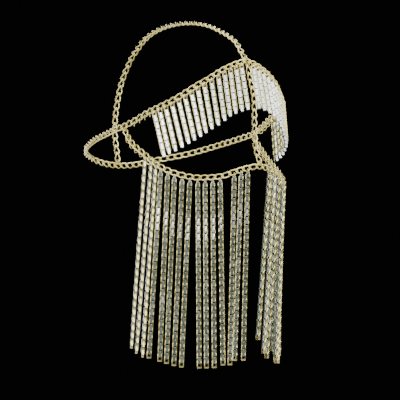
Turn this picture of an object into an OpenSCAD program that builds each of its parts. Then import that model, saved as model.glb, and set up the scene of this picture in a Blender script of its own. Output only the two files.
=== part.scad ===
// Head chain with a face veil, shown as it hangs on a head. Curb chain runs over the crown, round
// the brow and nape, down the nose and under the eyes. Square box chain hangs from it in two fringes.
// The face looks toward -Y, X = 0 is its middle, and the crown chain sits on the head at the origin.

/* [Head] */
// Width of the brow and nape loop at the ears
head_w = 154; // [140:1:170]
// Length of the brow and nape loop, front to back
head_l = 192; // [175:1:215]
// Height from the nape ring to the top of the head
head_h = 126; // [115:1:140]

/* [Curb chain] */
// Length of chain that each link adds
link_pitch = 7; // [6.8:0.1:7.6]
// Width of a link, outside
link_w = 5.8; // [5.6:0.1:6.4]
// Thickness of the link's wire
wire_d = 1.3; // [1:0.05:1.35]
// Free play between two links
link_play = 0.25; // [0.2:0.05:0.4]
// Height of the twist that lets the links lie flat
twist_rise = 1.05; // [1:0.05:1.2]

/* [Rings] */
// Diameter of the rings that join two chains, at the middle of their wire
join_ring_d = 4.4; // [4.2:0.1:4.8]
// Diameter of the jump rings that carry a strand, at the middle of their wire
jump_ring_d = 3.4; // [3.4:0.1:3.6]
// Diameter of the rings that carry nothing, at the middle of their wire
bare_ring_d = 4.1; // [3.4:0.1:4.2]
// Thickness of the wire of all rings
ring_wire_d = 0.8; // [0.6:0.05:0.85]
// Free play between a ring and the wire that it holds
ring_play = 0.18; // [0.16:0.01:0.2]
// Angle by which the bare rings at the right of the brow are turned away from the chain
right_turn = 38; // [0:2:38]
// Angle by which the bare rings at the left of the brow are turned away from the chain
left_turn = 12; // [0:2:12]

/* [Fringes] */
// Width and depth of the box chain
strand_w = 4.5; // [3.8:0.1:4.8]
// Width of the flat strip that its links are bent from
strip_w = 2.4; // [2:0.1:3]
// Length of the narrow top link of a veil strand
neck_h = 2.2; // [2:0.1:4]
// Width of the narrow top link of a veil strand
neck_w = 2.5; // [2:0.1:2.7]
// Length of a veil strand, from the wire that carries it
veil_drop = 172; // [120:1:190]
// Length of a brow strand, from the wire that carries it
brow_drop = 43.5; // [25:0.5:46]
// Length of the strands at the left, as a share of the same ones at the right
left_share = 0.955; // [0.9:0.005:1]
// Length of the left veil strand beside the nose, as a share of the other left ones
short_share = 0.93; // [0.5:0.01:1]

/* [Hidden] */

gold = "gold";
silver = "gainsboro";

// Routes of the chains, each point a share of half the head's width, of half its length toward the
// face, and of its height. The loop and the veil are listed for the left half, from the middle out.
loop_route = [
    [0, 0.97, -0.325], [0.29, 0.95, -0.382], [0.51, 0.9, -0.463], [0.64, 0.83, -0.518],
    [0.76, 0.755, -0.578], [0.84, 0.645, -0.627], [0.89, 0.51, -0.663], [0.92, 0.365, -0.7],
    [0.95, 0.24, -0.74], [0.975, 0.085, -0.78], [0.98, -0.05, -0.8], [0.945, -0.265, -0.83],
    [0.905, -0.45, -0.855], [0.815, -0.665, -0.89], [0.73, -0.78, -0.91], [0.605, -0.9, -0.93],
    [0.415, -1, -0.96], [0.22, -1.03, -0.985], [0, -1.035, -0.995]
];
crown_route = [
    [0, 0.9, -0.26], [0, 0.81, -0.18], [0, 0.69, -0.125], [0, 0.545, -0.078], [0, 0.4, -0.04],
    [0, 0.215, -0.012], [0, 0.03, 0], [0, -0.12, 0], [0, -0.26, -0.008], [0, -0.4, -0.027],
    [0, -0.525, -0.056], [0, -0.64, -0.1], [0, -0.74, -0.16], [0, -0.81, -0.205], [0, -0.885, -0.275],
    [0, -0.96, -0.36], [0, -1.012, -0.45], [0, -1.057, -0.56], [0, -1.081, -0.66], [0, -1.083, -0.75],
    [0, -1.075, -0.81], [0, -1.0595, -0.87], [0, -1.045, -0.92]
];
nose_route = [
    [0, 1.01, -0.415], [0, 1.065, -0.535], [0, 1.09, -0.62], [0, 1.09, -0.75], [0, 1.1, -0.89],
    [0, 1.12, -0.98]
];
veil_route = [
    [0, 1.175, -1.098], [0.162, 1.156, -1.113], [0.333, 1.127, -1.145], [0.462, 1.064, -1.175],
    [0.571, 0.937, -1.183], [0.682, 0.812, -1.177], [0.83, 0.685, -1.143], [0.91, 0.541, -1.086],
    [0.95, 0.362, -0.998], [0.985, 0.203, -0.909]
];

// Veil links that carry a strand, counted from the middle, how far its lower end drifts from straight
// below, toward the nape and away from the middle, as shares of its length, how far its ring has slid
// along the link toward the middle, as a share of the link pitch, and its length as a share of the drop.
veil_strands = [ // link, back, out, slide, length
    [2, 0.077, -0.029, 0.17, 1.009], [3, 0.08, -0.017, 0.12, 1], [4, 0.076, -0.029, 0.06, 1.011],
    [6, 0.024, -0.038, 0.17, 0.99], [7, 0.021, -0.027, 0.17, 1], [8, 0.021, -0.025, 0.15, 1],
    [9, 0.015, -0.022, 0.17, 1], [10, 0.064, 0.008, 0.17, 1], [11, 0.07, 0.002, 0.17, 1],
    [12, 0.07, 0, 0.12, 1], [13, 0.06, 0.008, 0.15, 1.003], [14, 0.0585, 0.035, 0.04, 1.006],
    [15, 0.07, 0.034, 0.12, 1.018], [16, 0.074, 0.041, 0.17, 1.018], [17, 0.0715, 0.0355, -0.05, 1.016]
];
// Brow links that carry a strand, with the same shares. All lie forward on the forehead, and those near
// the temples lean inward.
brow_strands = [ // link, back, out, slide, length
    [1, -0.243, -0.007, -0.09, 1.007], [2, -0.243, 0.014, 0.05, 1], [3, -0.243, 0.03, 0.1, 0.993],
    [4, -0.243, 0.022, 0.1, 0.99], [5, -0.243, 0.008, 0.06, 1.009], [6, -0.243, -0.009, -0.09, 1.015],
    [7, -0.243, -0.03, -0.16, 1.009], [8, -0.243, -0.05, -0.17, 1.011], [9, -0.243, -0.074, -0.17, 1.009],
    [10, -0.243, -0.093, -0.17, 0.995], [11, -0.243, -0.108, -0.12, 0.985],
    [12, -0.243, -0.11, -0.14, 0.985], [13, -0.243, -0.102, -0.15, 0.997],
    [14, -0.243, -0.096, -0.17, 1], [15, -0.243, -0.099, -0.17, 1]
];
// Links that carry a ring with nothing on it.
brow_bare_links = [16:19];
veil_bare_links = [18:21];
// Link of the brow that carries the veil, counted from the middle, the way that the veil pulls on it,
// and the links modelled beside the nape's.
ear_link = 21;
ear_pull = [0, -0.6, -0.8];
nape_side_links = 2;

wire_sides = 5;
link_sides = 10;
round_sides = 32;
curve_steps = 8;
tube_sides = 8;
tube_step = 14;
tube_gap = 0.2;
neck_lap = 1;
tip_room = 0.45;

link_half_w = (link_w - wire_d) / 2;
edge_w = link_half_w * cos(180 / link_sides);
link_slack = wire_d / 2 + link_play;
seat_h = twist_rise + wire_d / 2;
dome_h = 0.84 * head_h;
join_r = join_ring_d / 2;
jump_r = jump_ring_d / 2;
hold = (wire_d + ring_wire_d) / 2 + ring_play;

function unit(v) = v / norm(v);
function across(v, n) = unit(v - (v * n) * n);
function flip(p) = [-p.x, p.y, p.z];
function both_halves(p) = concat([for (i = [len(p) - 1:-1:1]) flip(p[i])], p);
function in_head(p) = [p.x * head_w / 2, -p.y * head_l / 2, p.z * head_h + seat_h];
function routed(route) = [for (p = route) in_head(p)];

// A smooth curve through a route's points, as one lookup table for each axis over the length run.
function pick(p, i, closed) = closed ? p[(i + len(p)) % len(p)] : p[max(0, min(i, len(p) - 1))];
function bend(a, b, c, d, t) =
    (2 * b + (c - a) * t + (2 * a - 5 * b + 4 * c - d) * t * t + (3 * (b - c) + d - a) * t * t * t) / 2;
function smooth(p, closed) = let (spans = closed ? len(p) : len(p) - 1) [
    for (i = [0:spans - 1], j = [0:curve_steps - 1])
        bend(pick(p, i - 1, closed), pick(p, i, closed), pick(p, i + 1, closed), pick(p, i + 2, closed),
            j / curve_steps),
    pick(p, spans, closed)
];
function lengths(c) = [
    for (i = 0, s = 0; i < len(c); i = i + 1, s = s + (i < len(c) ? norm(c[i] - c[i - 1]) : 0)) s
];
function track(points, closed = false) =
    let (c = smooth(points, closed), s = lengths(c))
    [for (axis = [0:2]) [for (i = [0:len(c) - 1]) [s[i], c[i][axis]]], closed];
function run(t) = t[0][len(t[0]) - 1][0];
function at(t, s) = let (u = t[3] ? (s + run(t)) % run(t) : s) [for (axis = [0:2]) lookup(u, t[axis])];

// A place on a chain: its middle, the way along it, the way across it, and the way off the head.
function off_dome(p) = [p.x / pow(head_w, 2), p.y / pow(head_l, 2), (p.z + dome_h) / pow(2 * dome_h, 2)];
function off_face(p) = [p.x / pow(head_w, 2), p.y / pow(head_l, 2), 0];
function place(t, s, hangs = false) =
    let (p = at(t, s), along = unit(at(t, s + 1) - at(t, s - 1)),
        off = across(hangs ? off_face(p) : off_dome(p), along))
    [p, along, cross(off, along), off];

// An open chain's links fill its track from end to end, and the loop's close on themselves.
function link_count(t) = round((run(t) - 2 * link_slack) / link_pitch);
function odd_count(t) = 2 * round((link_count(t) - 1) / 2) + 1;
function pitch_of(t, n) = (run(t) - 2 * link_slack) / n;
function spot(t, n, i, hangs = false) = place(t, link_slack + (i + 0.5) * pitch_of(t, n), hangs);

// Where a ring hangs on one edge of a link, 1 for its upper and -1 for its lower edge, and where
// the end of the chain that the ring holds begins.
function ring_middle(q, side) = q[0] + side * (edge_w + join_r - hold) * q[2];
function chain_end(q, side) = q[0] + side * (edge_w + 2 * (join_r - hold) - tip_room) * q[2];

// A ring on the lower edge of a link: its middle, its axis, the ways across and up in its plane, and
// how far below the edge it hangs. It stands in the plane that its pull and the way off the head make,
// so it hangs higher where the chain slopes across it, and it can slide along the edge.
function hung(q, pull, r, turn = 0, slide = 0) =
    let (off = across(q[3], pull), side = cross(off, -pull), axis = cos(turn) * side + sin(turn) * off,
        way = link_way(link_pitch / 2 + link_slack, 270), rail = way.x * q[1] + way.z * q[3],
        drop = max(0, r - hold * norm([rail * axis, rail * pull]) / abs(rail * axis)))
    [q[0] - edge_w * q[2] + slide * rail + drop * pull, axis, cross(-pull, axis), -pull, drop];

loop_half = routed(loop_route);
loop_track = track([for (i = [0:2 * len(loop_half) - 3])
    i < len(loop_half) ? loop_half[i] : flip(loop_half[2 * len(loop_half) - 2 - i])], true);
loop_n = 2 * round(run(loop_track) / link_pitch / 2);
loop_pitch = run(loop_track) / loop_n;
nape_link = loop_n / 2;
function loop_spot(k) = place(loop_track, k * loop_pitch);

crown_track = track(concat(
    [chain_end(loop_spot(0), 1)], routed(crown_route), [chain_end(loop_spot(nape_link), 1)]));
crown_n = link_count(crown_track);

function ear_hung(side) = hung(loop_spot(side * ear_link), ear_pull, join_r);
veil_end = ear_hung(1)[0] + (join_r - hold - tip_room) * ear_pull;
veil_track = track(both_halves(concat(routed(veil_route), [veil_end])));
veil_n = odd_count(veil_track);
function veil_spot(k) = spot(veil_track, veil_n, (veil_n - 1) / 2 + k, true);

nose_track = track(concat(
    [chain_end(loop_spot(0), -1)], routed(nose_route), [chain_end(veil_spot(0), 1)]));
nose_n = link_count(nose_track);

// One curb link: an oval of wire, twisted so that its neighbours lie flat beside it.
function link_middle(l, a) = [l * cos(a), link_half_w * sin(a), twist_rise * sin(2 * a)];
function link_way(l, a) = unit([-l * sin(a), link_half_w * cos(a), 2 * twist_rise * cos(2 * a)]);
function link_ring(l, a) =
    let (way = link_way(l, a), side = unit(cross(way, [0, 0, 1])), top = cross(side, way))
    [for (j = [0:wire_sides - 1]) let (b = 180 + 360 * j / wire_sides)
        link_middle(l, a) + wire_d / 2 * (cos(b) * side + sin(b) * top)];
function wrap_faces(rings, sides, closed) = [
    for (i = [0:rings - (closed ? 1 : 2)], j = [0:sides - 1])
        let (a = i * sides, b = (i + 1) % rings * sides, m = (j + 1) % sides)
        each [[a + j, a + m, b + m], [a + j, b + m, b + j]]
];
module link(pitch) {
    half_l = pitch / 2 + link_slack;
    polyhedron([for (i = [0:link_sides - 1]) each link_ring(half_l, 360 * i / link_sides)],
        wrap_faces(link_sides, wire_sides, true));
}
module stand(q) {
    multmatrix([for (row = [0:2]) [q[1][row], q[2][row], q[3][row], q[0][row]]]) children();
}
module chain(t, n, hangs = false) {
    for (i = [0:n - 1]) stand(spot(t, n, i, hangs)) link(pitch_of(t, n));
}
module loop_links(from, to) {
    for (k = [from:to]) stand(loop_spot(k)) link(loop_pitch);
}

// The plain stretch of the nape: an oval tube that fills the place of the links between two others.
function tube_ring(q) = [for (j = [0:tube_sides - 1]) let (b = 360 * (j + 0.5) / tube_sides)
    q[0] + link_w / 2 * cos(b) * q[2] - seat_h * sin(b) * q[3]];
module loop_tube(from, to) {
    start = from * loop_pitch + link_slack + loop_pitch / 2 + wire_d / 2 + tube_gap;
    end = to * loop_pitch - link_slack - loop_pitch / 2 - wire_d / 2 - tube_gap;
    steps = ceil((end - start) / tube_step);
    rings = [for (i = [0:steps]) tube_ring(place(loop_track, start + (end - start) * i / steps))];
    polyhedron([for (ring = rings) each ring], concat(
        wrap_faces(steps + 1, tube_sides, false),
        [[for (j = [tube_sides - 1:-1:0]) j], [for (j = [0:tube_sides - 1]) steps * tube_sides + j]]));
}

module ring(r) {
    rotate([0, 90, 0]) rotate_extrude($fn = round_sides)
        translate([r, 0]) circle(d = ring_wire_d, $fn = round_sides);
}
module join_ring(q, side) {
    stand([ring_middle(q, side), q[1], q[2], q[3]]) ring(join_r);
}

// A strand and its jump ring, and a ring with nothing on it. Without a neck the strand's full width
// begins at the jump ring.
function fall(q, back, out) = unit([(q[0].x < 0 ? -1 : 1) * out, back, -1]);
module strand(q, row, drop, neck) {
    h = hung(q, fall(q, row[1], row[2]), jump_r, slide = (q[0].x < 0 ? 1 : -1) * row[3] * link_pitch);
    stand(h) {
        ring(jump_r);
        if (neck > 0)
            translate([-neck_w / 2, -strand_w / 2, -jump_r - neck - neck_lap])
                cube([neck_w, strand_w, neck + neck_lap]);
        translate([0, 0, h[4] - drop]) linear_extrude(drop - h[4] - jump_r - neck) box_section();
    }
}
module box_section() {
    a = strand_w / 2;
    b = strip_w / 2;
    polygon([[a, -b], [a, b], [b, a], [-b, a], [-a, b], [-a, -b], [-b, -a], [b, -a]]);
}
module bare_ring(q, turn) {
    stand(hung(q, [0, 0, -1], bare_ring_d / 2, turn)) ring(bare_ring_d / 2);
}

module crown_chain() color(gold) chain(crown_track, crown_n);
module brow_chain() color(gold) loop_links(-ear_link - 1, ear_link + 1);
module nape_chain() color(gold) {
    loop_tube(ear_link + 1, nape_link - nape_side_links);
    loop_tube(nape_link + nape_side_links, loop_n - ear_link - 1);
}
module nape_links() color(gold) loop_links(nape_link - nape_side_links, nape_link + nape_side_links);
module nose_chain() color(gold) chain(nose_track, nose_n, true);
module veil_chain() color(gold) chain(veil_track, veil_n, true);
module crown_ring() color(gold) join_ring(loop_spot(0), 1);
module nape_ring() color(gold) join_ring(loop_spot(nape_link), 1);
module nose_ring() color(gold) join_ring(loop_spot(0), -1);
module nose_bridge_ring() color(gold) join_ring(veil_spot(0), 1);
module ear_ring_left() color(gold) stand(ear_hung(1)) ring(join_r);
module ear_ring_right() color(gold) stand(ear_hung(-1)) ring(join_r);
function share(side, row) =
    row[4] * (side < 0 ? 1 : row == veil_strands[0] ? left_share * short_share : left_share);
module brow_fringe(side) color(silver)
    for (row = brow_strands) strand(loop_spot(side * row[0]), row, share(side, row) * brow_drop, 0);
module veil_fringe(side) color(silver)
    for (row = veil_strands) strand(veil_spot(side * row[0]), row, share(side, row) * veil_drop, neck_h);
module bare_rings(side) color(gold) {
    for (k = brow_bare_links) bare_ring(loop_spot(side * k), side > 0 ? -left_turn : right_turn);
    for (k = veil_bare_links) bare_ring(veil_spot(side * k), 0);
}

crown_chain();
brow_chain();
nape_chain();
nape_links();
nose_chain();
veil_chain();
crown_ring();
nape_ring();
nose_ring();
nose_bridge_ring();
ear_ring_left();
ear_ring_right();
brow_fringe(1);  // brow_fringe_left
brow_fringe(-1);  // brow_fringe_right
veil_fringe(1);  // veil_fringe_left
veil_fringe(-1);  // veil_fringe_right
bare_rings(1);  // bare_rings_left
bare_rings(-1);  // bare_rings_right
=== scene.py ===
import bisect
import math
import random

import bmesh
import bpy
from mathutils import Matrix, Vector


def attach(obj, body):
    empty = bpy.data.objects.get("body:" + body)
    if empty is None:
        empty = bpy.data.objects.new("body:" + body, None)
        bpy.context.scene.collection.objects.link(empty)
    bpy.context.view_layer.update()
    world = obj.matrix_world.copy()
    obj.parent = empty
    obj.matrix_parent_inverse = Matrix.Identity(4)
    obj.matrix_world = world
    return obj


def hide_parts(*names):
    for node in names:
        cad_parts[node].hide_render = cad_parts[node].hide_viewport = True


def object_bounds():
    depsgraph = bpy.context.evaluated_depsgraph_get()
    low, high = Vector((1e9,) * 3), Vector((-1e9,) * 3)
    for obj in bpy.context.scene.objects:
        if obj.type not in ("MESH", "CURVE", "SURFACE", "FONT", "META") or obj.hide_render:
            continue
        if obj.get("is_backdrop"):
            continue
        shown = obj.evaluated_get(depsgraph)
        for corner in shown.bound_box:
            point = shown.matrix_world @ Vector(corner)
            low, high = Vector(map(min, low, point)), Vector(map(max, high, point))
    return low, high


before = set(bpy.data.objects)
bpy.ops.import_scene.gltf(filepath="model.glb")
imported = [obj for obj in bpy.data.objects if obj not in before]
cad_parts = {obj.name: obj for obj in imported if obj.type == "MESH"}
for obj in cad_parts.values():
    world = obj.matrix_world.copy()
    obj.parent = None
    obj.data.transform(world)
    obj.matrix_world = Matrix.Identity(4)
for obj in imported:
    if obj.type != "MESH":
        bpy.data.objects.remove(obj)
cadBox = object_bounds()
rng = random.Random(11)
mm = 0.001
print("frame loaded:", len(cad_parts), "nodes")


def wayOut(azimuth, elevation):  # toward a camera or a light, azimuth 0 in front of the face
    a, e = math.radians(azimuth), math.radians(elevation)
    return Vector((math.sin(a) * math.cos(e), -math.cos(a) * math.cos(e), math.sin(e)))


# camera: a long lens level with the chin, looking slightly up at the right side of the face
shot = {"azimuth": -38, "elevation": -4, "distance": 12.0, "width": 0.368, "target": (0.0147, -0.1611),
        "sensor": 36, "reach": 60}


def shotCamera():
    back = wayOut(shot["azimuth"], shot["elevation"])
    right = wayOut(shot["azimuth"] + 90, 0)
    target = right * shot["target"][0] + Vector((0, 0, shot["target"][1]))
    data = bpy.data.cameras.new("faceCamera")
    data.sensor_width = shot["sensor"]
    data.lens = shot["sensor"] * shot["distance"] / shot["width"]
    data.clip_end = shot["reach"]
    cam = bpy.data.objects.new("faceCamera", data)
    cam.location = target + back * shot["distance"]
    cam.rotation_euler = back.to_track_quat("Z", "Y").to_euler()
    bpy.context.collection.objects.link(cam)
    bpy.context.scene.camera = cam


shotCamera()
print("camera placed")

# the routes that the chains follow, as shares of the head: sideways, toward the face, height
head = {"width": 154, "length": 192, "height": 126, "dome": 0.84}
routes = {
    "loop": [(0, 0.97, -0.325), (0.29, 0.95, -0.382), (0.51, 0.9, -0.463), (0.64, 0.83, -0.518),
             (0.76, 0.755, -0.578), (0.84, 0.645, -0.627), (0.89, 0.51, -0.663), (0.92, 0.365, -0.7),
             (0.95, 0.24, -0.74), (0.975, 0.085, -0.78), (0.98, -0.05, -0.8), (0.945, -0.265, -0.83),
             (0.905, -0.45, -0.855), (0.815, -0.665, -0.89), (0.73, -0.78, -0.91), (0.605, -0.9, -0.93),
             (0.415, -1, -0.96), (0.22, -1.03, -0.985), (0, -1.035, -0.995)],
    "crown": [(0, 0.9, -0.26), (0, 0.81, -0.18), (0, 0.69, -0.125), (0, 0.545, -0.078), (0, 0.4, -0.04),
              (0, 0.215, -0.012), (0, 0.03, 0), (0, -0.12, 0), (0, -0.26, -0.008), (0, -0.4, -0.027),
              (0, -0.525, -0.056), (0, -0.64, -0.1), (0, -0.74, -0.16), (0, -0.81, -0.205),
              (0, -0.885, -0.275), (0, -0.96, -0.36), (0, -1.012, -0.45), (0, -1.057, -0.56),
              (0, -1.081, -0.66), (0, -1.083, -0.75), (0, -1.075, -0.81), (0, -1.0595, -0.87),
              (0, -1.045, -0.92)],
    "nose": [(0, 1.01, -0.415), (0, 1.065, -0.535), (0, 1.09, -0.62), (0, 1.09, -0.75), (0, 1.1, -0.89),
             (0, 1.12, -0.98)],
    "veil": [(0, 1.175, -1.098), (0.162, 1.156, -1.113), (0.333, 1.127, -1.145), (0.462, 1.064, -1.175),
             (0.571, 0.937, -1.183), (0.682, 0.812, -1.177), (0.83, 0.685, -1.143), (0.91, 0.541, -1.086),
             (0.95, 0.362, -0.998), (0.985, 0.203, -0.909)],
}
curveSteps = 8  # pieces of curve between two points of a route
curb = {"pitch": 7, "width": 5.8, "wire": 1.3, "play": 0.25, "rise": 1.05, "steps": 16, "sides": 6,
        "edges": 10}
rings = {"joinRadius": 2.2, "jumpRadius": 1.7, "wire": 0.8, "play": 0.18, "tipRoom": 0.45, "steps": 20,
         "earPull": (0, -0.6, -0.8), "earLink": 21}

halfW = (curb["width"] - curb["wire"]) / 2
edgeW = halfW * math.cos(math.pi / curb["edges"])
slack = curb["wire"] / 2 + curb["play"]
seat = curb["rise"] + curb["wire"] / 2
hold = (curb["wire"] + rings["wire"]) / 2 + rings["play"]


def inHead(p):
    return Vector((p[0] * head["width"] / 2, -p[1] * head["length"] / 2, p[2] * head["height"] + seat))


def routed(name):
    return [inHead(p) for p in routes[name]]


def flip(p):
    return Vector((-p[0], p[1], p[2]))


def smoothTrack(points, closed=False):
    n = len(points)
    pick = (lambda i: points[i % n]) if closed else (lambda i: points[max(0, min(i, n - 1))])
    spans = n if closed else n - 1
    curve = []
    for i in range(spans):
        a, b, c, d = pick(i - 1), pick(i), pick(i + 1), pick(i + 2)
        for j in range(curveSteps):
            t = j / curveSteps
            curve.append((2 * b + (c - a) * t + (2 * a - 5 * b + 4 * c - d) * t * t
                          + (3 * (b - c) + d - a) * t ** 3) / 2)
    curve.append(pick(spans))
    run = [0]
    for p, q in zip(curve, curve[1:]):
        run.append(run[-1] + (q - p).length)
    return run, curve, closed


def pointAt(track, s):
    run, curve, closed = track
    s = s % run[-1] if closed else max(0, min(s, run[-1]))
    i = min(bisect.bisect_right(run, s) - 1, len(run) - 2)
    return curve[i].lerp(curve[i + 1], (s - run[i]) / (run[i + 1] - run[i]))


def across(v, n):
    return (v - v.dot(n) * n).normalized()


def offHead(p, hangs):  # the way off the head, level where the chain hangs before the face
    dome = head["dome"] * head["height"]
    rise = 0 if hangs else (p.z + dome) / (2 * dome) ** 2
    return Vector((p.x / head["width"] ** 2, p.y / head["length"] ** 2, rise))


def placeOn(track, s, hangs=False):  # a link's place: middle, along, across, off the head
    step = curb["pitch"] / curveSteps
    p = pointAt(track, s)
    along = (pointAt(track, s + step) - pointAt(track, s - step)).normalized()
    off = across(offHead(p, hangs), along)
    return p, along, off.cross(along), off


def openPlaces(track, hangs=False, odd=False):
    count = (track[0][-1] - 2 * slack) / curb["pitch"]
    n = 2 * round((round(count) - 1) / 2) + 1 if odd else round(count)
    pitch = (track[0][-1] - 2 * slack) / n
    return [placeOn(track, slack + (i + 0.5) * pitch, hangs) for i in range(n)], pitch


def linkMiddle(half, a):
    return Vector((half * math.cos(a), halfW * math.sin(a), curb["rise"] * math.sin(2 * a)))


def linkWay(half, a):
    way = Vector((-half * math.sin(a), halfW * math.cos(a), 2 * curb["rise"] * math.cos(2 * a)))
    return way.normalized()


def hung(q, pull, radius, slide=0):  # a ring on a link's lower edge: middle, axis, across, up, drop
    pull = Vector(pull)
    off = across(q[3], pull)
    axis = off.cross(-pull)
    way = linkWay(curb["pitch"] / 2 + slack, math.radians(270))
    rail = way.x * q[1] + way.z * q[3]
    lean = math.hypot(rail.dot(axis), rail.dot(pull)) / abs(rail.dot(axis))
    drop = max(0, radius - hold * lean)
    return q[0] - edgeW * q[2] + slide * rail + drop * pull, axis, (-pull).cross(axis), -pull, drop


def chainEnd(q, side):  # where a chain begins that a ring holds on one edge of a link
    return q[0] + side * (edgeW + 2 * (rings["joinRadius"] - hold) - rings["tipRoom"]) * q[2]


halfLoop = routed("loop")
loopTrack = smoothTrack(halfLoop + [flip(p) for p in halfLoop[-2:0:-1]], True)
loopCount = 2 * round(loopTrack[0][-1] / curb["pitch"] / 2)
loopPitch = loopTrack[0][-1] / loopCount
napeLink = loopCount // 2


def loopPlace(k):
    return placeOn(loopTrack, k * loopPitch)


middleLink = loopPlace(0)
crownTrack = smoothTrack([chainEnd(middleLink, 1)] + routed("crown") + [chainEnd(loopPlace(napeLink), 1)])
earRing = hung(loopPlace(rings["earLink"]), rings["earPull"], rings["joinRadius"])
veilEnd = earRing[0] + (rings["joinRadius"] - hold - rings["tipRoom"]) * Vector(rings["earPull"])
halfVeil = routed("veil") + [veilEnd]
veilTrack = smoothTrack([flip(p) for p in halfVeil[:0:-1]] + halfVeil)
veilPlaces, veilPitch = openPlaces(veilTrack, True, True)
veilMiddle = len(veilPlaces) // 2
noseEnd = chainEnd(veilPlaces[veilMiddle], 1)
noseTrack = smoothTrack([chainEnd(middleLink, -1)] + routed("nose") + [noseEnd])
print("routes laid: loop of", loopCount, "links, veil of", len(veilPlaces))

spun = {"section": 0.25, "merge": 1e-5}


# a closed loop of wire from a spun circle, still round: shapeWire bends it to the link it becomes
def spunLoop(sides, steps, startAngle=0.0, sectionTurn=0.0):
    bm = bmesh.new()
    upright = Matrix.Translation((1, 0, 0)) @ Matrix.Rotation(math.pi / 2, 4, "X")
    turn = Matrix.Rotation(startAngle, 4, "Z") @ upright @ Matrix.Rotation(sectionTurn, 4, "Z")
    bmesh.ops.create_circle(bm, segments=sides, radius=spun["section"], matrix=turn)
    bmesh.ops.spin(bm, geom=bm.verts[:] + bm.edges[:], cent=(0, 0, 0), axis=(0, 0, 1),
                   angle=2 * math.pi, steps=steps, use_merge=True)
    bmesh.ops.remove_doubles(bm, verts=bm.verts[:], dist=spun["merge"])
    bmesh.ops.recalc_face_normals(bm, faces=bm.faces[:])
    return bm


def shapeWire(bm, bent, shade=None):
    # painted shade: a mask on each vertex, 1 where the material paints the metal dark as shade
    paintedShade = bm.verts.layers.float.new("paintedShade")
    for v in bm.verts:
        a = math.atan2(v.co.y, v.co.x)
        radial, axial = (math.hypot(v.co.x, v.co.y) - 1) / spun["section"], v.co.z / spun["section"]
        v.co = bent(a, radial, axial)
        v[paintedShade] = shade(a, radial) if shade else 0
    bmesh.ops.recalc_face_normals(bm, faces=bm.faces[:])
    mesh = bpy.data.meshes.new("wireShape")
    bm.to_mesh(mesh)
    bm.free()
    return mesh


def curbShape(pitch):
    half, r = pitch / 2 + slack, curb["wire"] / 2

    def bent(a, radial, axial):
        way = linkWay(half, a)
        side = way.cross(Vector((0, 0, 1))).normalized()
        return linkMiddle(half, a) + r * radial * side + r * axial * side.cross(way)
    return shapeWire(spunLoop(curb["sides"], curb["steps"]), bent)


def ringShape(radius, wire, steps):
    def bent(a, radial, axial):
        r = radius + radial * wire / 2
        return Vector((axial * wire / 2, r * math.cos(a), r * math.sin(a)))
    return shapeWire(spunLoop(curb["sides"], steps), bent)


# box chain: flat strip bent to square loops, wide in gold and narrow in silver, with shade painted dark
# into their hollows
box = {"gold": {"width": 4.12, "side": 1.05, "bend": 1.65, "bendWidth": 2.1, "panel": 2.4},
       "silver": {"width": 3.4, "side": 0.9, "bend": 1.2, "bendWidth": 2.2, "panel": 2.8},
       "corner": 0.2, "innerCorner": 0.08, "round": 0.22, "belly": 0.45, "rim": 0.3,
       "corners": 8, "sides": 6}


def boxShape(hole, metal):
    dims, cut, inCut = box[metal], box["corner"], box["innerCorner"]
    side, bend = dims["side"], dims["bend"]
    x, y = dims["width"] / 2, hole / 2 + bend
    eighth = 360 / box["corners"]

    def corner(a):  # two corners to each of the loop's four turns, counted from the right
        return int(round((math.degrees(a) % 360 - eighth / 2) / eighth)) % box["corners"]

    def bent(a, radial, axial):
        k = corner(a)
        sx, sy = (1 if k in (0, 1, 6, 7) else -1), (1 if k < 4 else -1)
        if k in (0, 3, 4, 7):
            half = dims["panel"] / 2
            outer, inner = Vector((x, y - cut)), Vector((x - side, y - bend - inCut))
        else:
            half = dims["bendWidth"] / 2
            outer, inner = Vector((x - cut, y)), Vector((x - side - inCut, y - bend))
        if radial > box["rim"]:
            p, half = outer, half - box["round"]
        elif radial > -box["rim"]:
            p = outer.lerp(inner, box["belly"])
        else:
            p, half = inner, half - box["round"] / 2
        return Vector((sx * p.x, sy * p.y, math.copysign(half, axial)))

    def shade(a, radial):  # painted shade, inside the loop and where a silver link passes through the gold ones
        return 1 if radial < -box["rim"] or metal == "silver" and corner(a) in (1, 2, 5, 6) else 0
    loop = spunLoop(box["sides"], box["corners"], math.radians(eighth / 2), math.pi / box["sides"])
    return shapeWire(loop, bent, shade)


sharpAngle = 50  # edges of the bent strip stay crisp
smoothAngle = 180  # round wire has none


# one mesh object from many copies of a few shapes, each copy with its own tone
def assemble(name, copies, material, nodes, sharp=sharpAngle, flat=False):
    bm = bmesh.new()
    tone = bm.verts.layers.float.new("linkTone")
    for shape, matrix in copies:
        start = len(bm.verts)
        bm.from_mesh(shape)
        bm.verts.ensure_lookup_table()
        new = bm.verts[start:]
        bmesh.ops.transform(bm, matrix=matrix, verts=new)
        value = rng.random()
        for v in new:
            v[tone] = value
    bmesh.ops.scale(bm, vec=(mm, mm, mm), verts=bm.verts[:])
    mesh = bpy.data.meshes.new(name)
    bm.to_mesh(mesh)
    bm.free()
    mesh.materials.append(material)
    mesh.shade_smooth()
    mesh.set_sharp_from_angle(angle=math.radians(sharp))
    obj = bpy.data.objects.new(name, mesh)
    bpy.context.collection.objects.link(obj)
    if flat:
        even = obj.modifiers.new("evenShade", "WEIGHTED_NORMAL")
        even.keep_sharp = True
    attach(obj, "root")
    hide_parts(*nodes)
    return obj


def stand(q):
    m = Matrix((q[1], q[2], q[3])).transposed().to_4x4()
    m.translation = q[0]
    return m


# materials: polished plating that varies a little from link to link, with hairline wear, and shade
# painted dark where the mesh's mask marks it
plating = {"patchDetail": 3, "lineDetail": 2, "lineSqueeze": (1, 1, 0.12), "patchRange": (0.3, 0.7),
           "toneShare": 0.5, "rampEnds": (0.2, 0.8), "bumpDepth": 0.0001}
wearInputs = ("Patch Scale", "Line Scale", "Rough Low", "Rough High")


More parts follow.
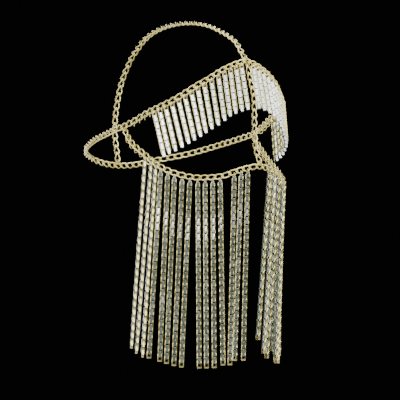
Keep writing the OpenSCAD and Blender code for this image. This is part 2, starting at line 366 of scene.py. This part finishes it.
def hairlineWear():
    group = bpy.data.node_groups.new("hairlineWear", "ShaderNodeTree")
    face = group.interface
    face.new_socket(name="Coordinate", in_out="INPUT", socket_type="NodeSocketVector")
    for name in wearInputs:
        face.new_socket(name=name, in_out="INPUT", socket_type="NodeSocketFloat")
    for name in ("Patch", "Roughness", "Height"):
        face.new_socket(name=name, in_out="OUTPUT", socket_type="NodeSocketFloat")
    nodes, links = group.nodes, group.links
    inp, out = nodes.new("NodeGroupInput"), nodes.new("NodeGroupOutput")
    patch = nodes.new("ShaderNodeTexNoise")
    patch.inputs["Detail"].default_value = plating["patchDetail"]
    lines = nodes.new("ShaderNodeTexNoise")
    lines.inputs["Detail"].default_value = plating["lineDetail"]
    squeeze = nodes.new("ShaderNodeMapping")
    squeeze.inputs["Scale"].default_value = plating["lineSqueeze"]
    spread = nodes.new("ShaderNodeMapRange")
    for key, value in zip(("From Min", "From Max"), plating["patchRange"]):
        spread.inputs[key].default_value = value
    links.new(inp.outputs["Coordinate"], patch.inputs["Vector"])
    links.new(inp.outputs["Patch Scale"], patch.inputs["Scale"])
    links.new(inp.outputs["Coordinate"], squeeze.inputs["Vector"])
    links.new(squeeze.outputs["Vector"], lines.inputs["Vector"])
    links.new(inp.outputs["Line Scale"], lines.inputs["Scale"])
    links.new(patch.outputs["Fac"], spread.inputs["Value"])
    links.new(inp.outputs["Rough Low"], spread.inputs["To Min"])
    links.new(inp.outputs["Rough High"], spread.inputs["To Max"])
    links.new(patch.outputs["Fac"], out.inputs["Patch"])
    links.new(spread.outputs["Result"], out.inputs["Roughness"])
    links.new(lines.outputs["Fac"], out.inputs["Height"])
    return group


wearGroup = hairlineWear()


def platedMetal(name, look):
    mat = bpy.data.materials.new(name)
    mat.use_nodes = True
    nodes, links = mat.node_tree.nodes, mat.node_tree.links
    shader = nodes["Principled BSDF"]
    shader.inputs["Metallic"].default_value = 1
    coord = nodes.new("ShaderNodeTexCoord")
    wear = nodes.new("ShaderNodeGroup")
    wear.node_tree = wearGroup
    for key in wearInputs:
        wear.inputs[key].default_value = look[key]
    tone = nodes.new("ShaderNodeAttribute")
    tone.attribute_name = "linkTone"
    patch = nodes.new("ShaderNodeMath")
    patch.operation = "MULTIPLY"
    patch.inputs[1].default_value = 1 - plating["toneShare"]
    blend = nodes.new("ShaderNodeMath")
    blend.operation = "MULTIPLY_ADD"
    blend.inputs[1].default_value = plating["toneShare"]
    ramp = nodes.new("ShaderNodeValToRGB")
    for stop, position, colour in zip(ramp.color_ramp.elements, plating["rampEnds"], ("deep", "light")):
        stop.position = position
        stop.color = (*look[colour], 1)
    paintedShade = nodes.new("ShaderNodeAttribute")
    paintedShade.attribute_name = "paintedShade"
    # painted shade: the base colour is mixed toward the look's dark shade colour by the mask
    paintedShadeMix = nodes.new("ShaderNodeMixRGB")
    paintedShadeMix.inputs["Color2"].default_value = (*look["paintedShade"], 1)
    bump = nodes.new("ShaderNodeBump")
    bump.inputs["Strength"].default_value = look["bump"]
    bump.inputs["Distance"].default_value = plating["bumpDepth"]
    links.new(coord.outputs["Object"], wear.inputs["Coordinate"])
    links.new(tone.outputs["Fac"], blend.inputs[0])
    links.new(wear.outputs["Patch"], patch.inputs[0])
    links.new(patch.outputs["Value"], blend.inputs[2])
    links.new(blend.outputs["Value"], ramp.inputs["Fac"])
    links.new(paintedShade.outputs["Fac"], paintedShadeMix.inputs["Fac"])
    links.new(ramp.outputs["Color"], paintedShadeMix.inputs["Color1"])
    links.new(paintedShadeMix.outputs["Color"], shader.inputs["Base Color"])
    links.new(wear.outputs["Roughness"], shader.inputs["Roughness"])
    links.new(wear.outputs["Height"], bump.inputs["Height"])
    links.new(bump.outputs["Normal"], shader.inputs["Normal"])
    return mat


# each look's dark colour for the hollows is painted shade
goldLook = {"deep": (0.76, 0.65, 0.24), "light": (0.93, 0.83, 0.39), "paintedShade": (0.2, 0.15, 0.05),
            "Rough Low": 0.16, "Rough High": 0.3, "Patch Scale": 90, "Line Scale": 2600, "bump": 0.12}
silverLook = {"deep": (0.62, 0.68, 0.65), "light": (0.86, 0.9, 0.88), "paintedShade": (0.04, 0.045, 0.045),
              "Rough Low": 0.12, "Rough High": 0.26, "Patch Scale": 70, "Line Scale": 3200, "bump": 0.1}
goldWire = platedMetal("goldWire", goldLook)
silverStrip = platedMetal("silverStrip", silverLook)
print("metals mixed")

# the curb chains
loopShape = curbShape(loopPitch)
crownPlaces, crownPitch = openPlaces(crownTrack)
nosePlaces, nosePitch = openPlaces(noseTrack, True)
napeStart = rings["earLink"] + 2  # the brow's last link lies just past the ear's
browPlaces = [loopPlace(k) for k in range(1 - napeStart, napeStart)]
napePlaces = [loopPlace(k) for k in range(napeStart, loopCount - napeStart + 1)]
chains = (
    ("crownCurb", crownPlaces, curbShape(crownPitch), ["crown_chain"]),
    ("browCurb", browPlaces, loopShape, ["brow_chain"]),
    ("napeCurb", napePlaces, loopShape, ["nape_chain", "nape_links"]),
    ("noseCurb", nosePlaces, curbShape(nosePitch), ["nose_chain"]),
    ("veilCurb", veilPlaces, curbShape(veilPitch), ["veil_chain"]),
)
for name, places, shape, nodes in chains:
    assemble(name, [(shape, stand(q)) for q in places], goldWire, nodes, smoothAngle)
    print(name, len(places), "links")

# the fringes. Each strand: link, drift of the lower end back and out, slide of the ring and length as
# shares, and the way its silver side faces, in degrees from straight ahead, at the right and at the left.
# Each rock: first and last link, depth, reach and angle of a stretch whose links tip toward the light
veilFringe = {
    "drop": 172, "step": 3.523, "topHeight": 4.2, "topPlay": 0.03,
    "eyeRadius": 1.15, "eyeWire": 0.7, "eyePlay": 0.04, "eyeSteps": 12,
    "strands": [(2, 0.077, -0.029, 0.17, 1.009, -40, 86), (3, 0.08, -0.017, 0.12, 1, -36, 83),
                (4, 0.076, -0.029, 0.06, 1.011, -41, 87), (6, 0.024, -0.038, 0.17, 0.99, -50, 84),
                (7, 0.021, -0.027, 0.17, 1, -38, 81), (8, 0.021, -0.025, 0.15, 1, -37, 88),
                (9, 0.015, -0.022, 0.17, 1, -39, 84), (10, 0.064, 0.008, 0.17, 1, -44, 86),
                (11, 0.07, 0.002, 0.17, 1, -42, 82), (12, 0.07, 0, 0.12, 1, -40, 85),
                (13, 0.06, 0.008, 0.15, 1.003, -42, 81), (14, 0.0585, 0.035, 0.04, 1.006, -40, 87),
                (15, 0.07, 0.034, 0.12, 1.018, -124, 84), (16, 0.074, 0.041, 0.17, 1.018, -125, 83),
                (17, 0.0715, 0.0355, -0.05, 1.016, -126, 86)],
    "rocks": [(2, 6, 40, 10, 6.5), (7, 17, 46, 13, 6.5), (11, 14, 121, 9, 5)],
}
browFringe = {
    "drop": 43.5, "step": 3.5, "pairs": 6, "topPlay": 0.03, "back": -0.243,
    "strands": [(1, -0.007, -0.09, 1.007, -38, -32), (2, 0.014, 0.05, 1, -40, -31),
                (3, 0.03, 0.1, 0.993, -43, -30), (4, 0.022, 0.1, 0.99, -37, -28),
                (5, 0.008, 0.06, 1.009, -39, -26), (6, -0.009, -0.09, 1.015, -42, -25),
                (7, -0.03, -0.16, 1.009, -44, -24), (8, -0.05, -0.17, 1.011, -38, -22),
                (9, -0.074, -0.17, 1.009, -40, -20), (10, -0.093, -0.17, 0.995, -43, -19),
                (11, -0.108, -0.12, 0.985, -37, -18), (12, -0.11, -0.14, 0.985, -39, -16),
                (13, -0.102, -0.15, 0.997, -42, -14), (14, -0.096, -0.17, 1, -44, -13),
                (15, -0.099, -0.17, 1, -38, -12)],
    "rocks": [],
}
browFringe["strands"] = [(row[0], browFringe["back"], *row[1:]) for row in browFringe["strands"]]
shares = {"left": 0.955, "short": 0.93}
sway = {"turn": 2, "tilt": 0.8, "shift": 0.03, "rockEdge": 4}


# a strand's place: where its ring hangs, and the same turned to let its silver side face the given way
def strandPlace(q, row):
    link, back, out, slide, length, faceRight, faceLeft = row
    side = -1 if q[0].x < 0 else 1
    pull = Vector((side * out, back, -1)).normalized()
    h = hung(q, pull, rings["jumpRadius"], -side * slide * curb["pitch"])
    here = stand(h)
    to = wayOut(faceRight if side < 0 else faceLeft, 0)
    return h, here, here @ Matrix.Rotation(math.atan2(-to.dot(h[1]), to.dot(h[2])), 4, "Z")


def chance(size):
    return rng.uniform(-1, 1) * size


def turned(degrees, axis):
    return Matrix.Rotation(math.radians(degrees), 4, axis)


# a gold link shows its edges beside the flat of a silver one. Each sways a little, and some rock
def linkAt(here, z, gold, rock=0):
    facing = ((1, 0, 0), (0, 0, -1), (0, 1, 0)) if gold else ((0, 0, 1), (1, 0, 0), (0, 1, 0))
    jitter = turned(chance(sway["turn"]), "Z") @ turned(chance(sway["tilt"]), "Y")
    jitter = jitter @ turned(chance(sway["tilt"]) + rock, "X")
    shift = Matrix.Translation((chance(sway["shift"]), chance(sway["shift"]), z))
    return here @ shift @ jitter @ Matrix(facing).to_4x4()


def rockAt(fringe, link, depth):
    return sum(angle * math.exp(-((depth - middle) / reach) ** sway["rockEdge"])
               for start, end, middle, reach, angle in fringe["rocks"] if start <= link <= end)


def boxLinks(fringe, link, shapes, place, first, last, count):
    copies = {"gold": [], "silver": []}
    for i in range(count):
        z = first + (last - first) * i / (count - 1)
        metal = ("gold", "silver")[i % 2]
        rock = rockAt(fringe, link, -z)
        copies[metal].append((shapes[metal + "Box"], linkAt(place, z, metal == "gold", rock)))
    return copies


def veilStrand(q, row, shapes, share):
    h, here, place = strandPlace(q, row)
    bend, eye, wire = box["silver"]["bend"], veilFringe["eyeRadius"], veilFringe["eyeWire"]
    top, gold = veilFringe["topHeight"], shapes["goldHeight"]
    eyeMiddle = -rings["jumpRadius"] + (rings["wire"] + wire) / 2 + veilFringe["eyePlay"] - eye
    topMiddle = eyeMiddle - eye + wire / 2 + bend - top / 2 + veilFringe["topPlay"]
    first = topMiddle - top / 2 + bend + box["gold"]["bend"] - gold / 2
    last = h[4] - share * veilFringe["drop"] + gold / 2
    count = 2 * round((first - last) / veilFringe["step"] / 2) + 1
    copies = boxLinks(veilFringe, row[0], shapes, place, first, last, count)
    copies["gold"].append((shapes["jump"], here))
    eyePlace = place @ Matrix.Translation((0, 0, eyeMiddle)) @ turned(90, "Z")
    copies["silver"].append((shapes["eye"], eyePlace))
    copies["silver"].append((shapes["top"], linkAt(place, topMiddle, False)))
    return copies


def browStrand(q, row, shapes, share):
    h, here, place = strandPlace(q, row)
    top = -rings["jumpRadius"] + rings["wire"] / 2 + browFringe["topPlay"] + box["gold"]["bend"]
    first = top - shapes["goldHeight"] / 2
    last = h[4] - share * browFringe["drop"] + shapes["silverHeight"] / 2
    copies = boxLinks(browFringe, row[0], shapes, place, first, last, 2 * browFringe["pairs"])
    copies["gold"].append((shapes["jump"], here))
    return copies


def fringeShapes(step):
    shapes = {"jump": ringShape(rings["jumpRadius"], rings["wire"], rings["steps"])}
    for metal in ("gold", "silver"):
        shapes[metal + "Box"] = boxShape(step, metal)
        shapes[metal + "Height"] = step + 2 * box[metal]["bend"]
    return shapes


veilShapes = fringeShapes(veilFringe["step"])
veilShapes["top"] = boxShape(veilFringe["topHeight"] - 2 * box["silver"]["bend"], "silver")
veilShapes["eye"] = ringShape(veilFringe["eyeRadius"], veilFringe["eyeWire"], veilFringe["eyeSteps"])
browShapes = fringeShapes(browFringe["step"])


def shareOf(fringe, row, side):
    if side < 0:
        return row[4]
    first = fringe is veilFringe and row is fringe["strands"][0]
    return row[4] * shares["left"] * (shares["short"] if first else 1)


for side, word in ((1, "left"), (-1, "right")):
    for label, fringe, shapes, make, at in (
            ("veil", veilFringe, veilShapes, veilStrand, lambda k: veilPlaces[veilMiddle + side * k]),
            ("brow", browFringe, browShapes, browStrand, lambda k: loopPlace(side * k))):
        strands = [make(at(row[0]), row, shapes, shareOf(fringe, row, side)) for row in fringe["strands"]]
        gold, silver = [sum((strand[metal] for strand in strands), []) for metal in ("gold", "silver")]
        node = label + "_fringe_" + word
        assemble(label + "Gold" + word.title(), gold, goldWire, [node])
        assemble(label + "Silver" + word.title(), silver, silverStrip, [node], flat=True)
        print(node, len(gold), "gold and", len(silver), "silver links")

# rings that stay as they are get the gold
for node in ("crown_ring", "nape_ring", "nose_ring", "nose_bridge_ring",
             "ear_ring_left", "ear_ring_right", "bare_rings_left", "bare_rings_right"):
    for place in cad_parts[node].material_slots:
        place.material = goldWire

# studio: pale floor where the wearer would stand, large soft lights out of the picture.
# Each light: azimuth, elevation, distance, size, power
studio = {"floorZ": -1.5, "floorSize": 60, "floorColour": (0.78, 0.77, 0.75), "floorRough": 0.8,
          "room": (0.14, 0.17, 0.14), "backdrop": (0.0015, 0.0015, 0.0016), "aim": (0, 0, -0.16)}
lights = {"keyLight": (-42, 28, 2.4, (2.4, 1), 20),
          "bandLight": (-42, 15.5, 2.4, (2.4, 0.2), 15),
          "leftLight": (-108, 12, 2.2, (1.2, 2.2), 25),
          "rightLight": (4, 8, 2.4, (1.6, 2), 24),
          "sideLight": (36, 30, 2.4, (1.2, 0.6), 14),
          "topLight": (-10, 76, 1.8, (2.4, 2.4), 72),
          "backLight": (162, 15, 2.4, (1.8, 2), 40)}


def studioFloor():
    bm = bmesh.new()
    bmesh.ops.create_grid(bm, x_segments=1, y_segments=1, size=studio["floorSize"] / 2,
                          matrix=Matrix.Translation((0, 0, studio["floorZ"])))
    mesh = bpy.data.meshes.new("studioFloor")
    bm.to_mesh(mesh)
    bm.free()
    mat = bpy.data.materials.new("paleFloor")
    mat.use_nodes = True
    shader = mat.node_tree.nodes["Principled BSDF"]
    shader.inputs["Base Color"].default_value = (*studio["floorColour"], 1)
    shader.inputs["Roughness"].default_value = studio["floorRough"]
    mesh.materials.append(mat)
    obj = bpy.data.objects.new("studioFloor", mesh)
    bpy.context.collection.objects.link(obj)
    obj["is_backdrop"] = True


def softLight(name, azimuth, elevation, distance, size, power):
    back = wayOut(azimuth, elevation)
    data = bpy.data.lights.new(name, "AREA")
    data.shape = "RECTANGLE"
    data.size, data.size_y = size
    data.energy = power
    obj = bpy.data.objects.new(name, data)
    obj.location = Vector(studio["aim"]) + back * distance
    obj.rotation_euler = back.to_track_quat("Z", "Y").to_euler()
    obj.visible_camera = False
    bpy.context.collection.objects.link(obj)


def studioWorld():
    world = bpy.data.worlds.new("studioWorld")
    world.use_nodes = True
    nodes, links = world.node_tree.nodes, world.node_tree.links
    room = nodes["Background"]
    room.inputs["Color"].default_value = (*studio["room"], 1)
    backdrop = nodes.new("ShaderNodeBackground")  # what the camera itself sees
    backdrop.inputs["Color"].default_value = (*studio["backdrop"], 1)
    ray = nodes.new("ShaderNodeLightPath")
    mix = nodes.new("ShaderNodeMixShader")
    links.new(ray.outputs["Is Camera Ray"], mix.inputs["Fac"])
    links.new(room.outputs["Background"], mix.inputs[1])
    links.new(backdrop.outputs["Background"], mix.inputs[2])
    links.new(mix.outputs["Shader"], nodes["World Output"].inputs["Surface"])
    bpy.context.scene.world = world


studioFloor()
for name, values in lights.items():
    softLight(name, *values)
studioWorld()
print("studio lit")

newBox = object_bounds()
boxes = {"cad": cadBox, "visual": newBox}
{key: [[float(x) for x in p] for p in corners] for key, corners in boxes.items()}
